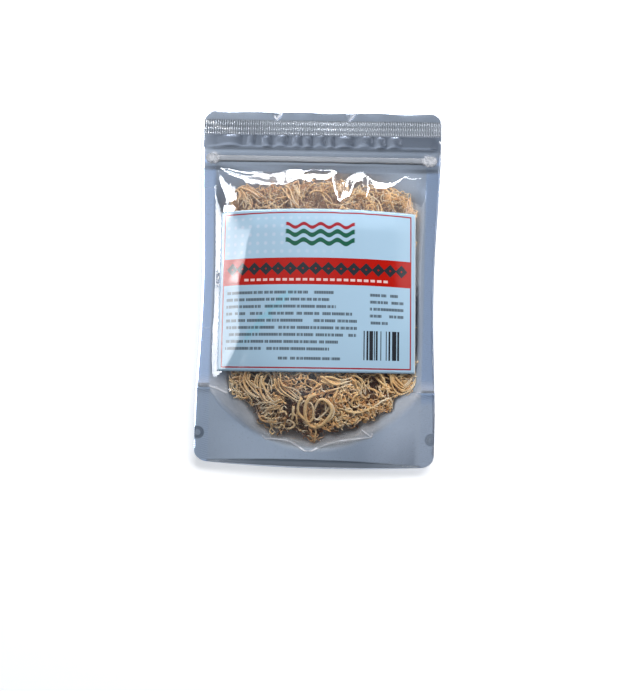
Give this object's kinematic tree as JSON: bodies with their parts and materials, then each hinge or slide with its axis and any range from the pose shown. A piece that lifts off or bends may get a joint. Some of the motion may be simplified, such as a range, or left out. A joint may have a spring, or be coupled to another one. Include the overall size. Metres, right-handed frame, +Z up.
{
  "type": "pouch of dried sea moss",
  "caption": "Resealable stand-up pouch with a clear front and a silver back, filled with curly dried sea moss and lying on its back, with a blue label.",
  "frame": {"origin": "on the surface that the pouch lies on, under the middle of its outline", "axes": "+X across the pouch, +Y along it towards the zip, +Z up out of its clear front"},
  "size_m": [0.16, 0.239, 0.0331],
  "materials": {
    "clear_film": "clear gloss film with a cool tint",
    "silver_film": "satin metallised film",
    "zip": "milky polyethylene",
    "label": "coated label paper, pale blue with red",
    "moss": "dry, golden tan, slightly waxy"
  },
  "bodies": {
    "root": {"front_film": "clear_film", "back_film": "silver_film", "gusset": "silver_film", "zip_channel": "zip", "zip_bead": "zip", "label": "label", "moss_tuft_top_left": "moss", "moss_tuft_top_middle": "moss", "moss_tuft_top_right": "moss", "moss_tuft_upper_left": "moss", "moss_tuft_upper_right": "moss", "moss_tuft_lower_left": "moss", "moss_tuft_lower_right": "moss", "moss_tuft_bottom_left": "moss", "moss_tuft_bottom_middle": "moss", "moss_tuft_bottom_right": "moss"}
  },
  "joints": []
}
